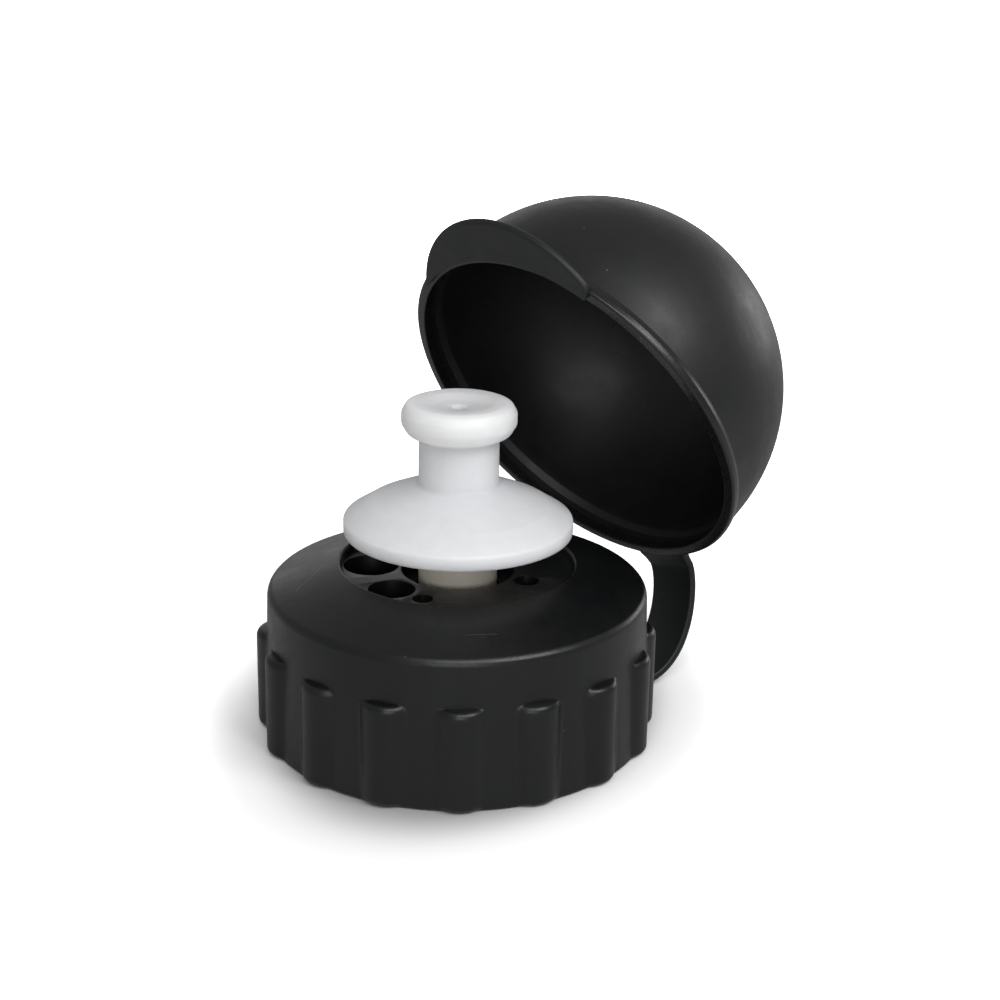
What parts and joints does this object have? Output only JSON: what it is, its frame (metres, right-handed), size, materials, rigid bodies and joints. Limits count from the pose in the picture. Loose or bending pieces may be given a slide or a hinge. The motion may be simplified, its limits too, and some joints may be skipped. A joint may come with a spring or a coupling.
{
  "type": "push-pull bottle cap with dust cover",
  "caption": "Ribbed screw cap with a push-pull drinking and pouring nozzle, and a dome dust cover swung open on a strap.",
  "frame": {"origin": "centre of the screw cap's foot, on the cap's axis", "axes": "+Z along the cap's axis, up the nozzle. +Y towards the strap. -Y is the front, about where the cover's thumb tab comes when the cover is shut."},
  "size_m": [0.0585, 0.0757, 0.0664],
  "materials": {
    "cap_plastic": "black polypropylene, satin with a fine grain",
    "stem_plastic": "cream natural acetal, satin",
    "seal_rubber": "black nitrile rubber",
    "gasket_silicone": "white silicone rubber",
    "vent_silicone": "clear silicone rubber",
    "nozzle_plastic": "white low-density polythene, waxy and slightly translucent",
    "strap_plastic": "black flexible polypropylene, matte",
    "cover_plastic": "black polypropylene, smooth satin"
  },
  "bodies": {
    "cap": {"screw_cap": "cap_plastic", "valve_post": "stem_plastic", "post_o_ring": "seal_rubber", "neck_gasket": "gasket_silicone", "vent_valve": "vent_silicone"},
    "sliding_nozzle": {"nozzle": "nozzle_plastic"},
    "strap_link": {"strap": "strap_plastic"},
    "cover": {"dust_cover": "cover_plastic"}
  },
  "joints": [
    {"name": "nozzle_slide", "type": "slide", "parent": "cap", "child": "sliding_nozzle", "axis": [0, 0, 1], "range_m": [-0.0048, 0]},
    {"name": "strap_bend", "type": "hinge", "parent": "cap", "child": "strap_link", "pos_m": [0, 0.0267, 0.0011], "axis": [-0.9613, -0.2756, 0], "range_deg": [-28.2, 23]},
    {"name": "cover_bend", "type": "hinge", "parent": "strap_link", "child": "cover", "pos_m": [-0.00217, 0.03518, 0.01558], "axis": [-0.9613, -0.2756, 0], "range_deg": [-32.7, 26.6]}
  ],
  "couplings": [
    {"joint": "strap_bend", "follows": "cover_bend", "ratio": 0.8623}
  ]
}
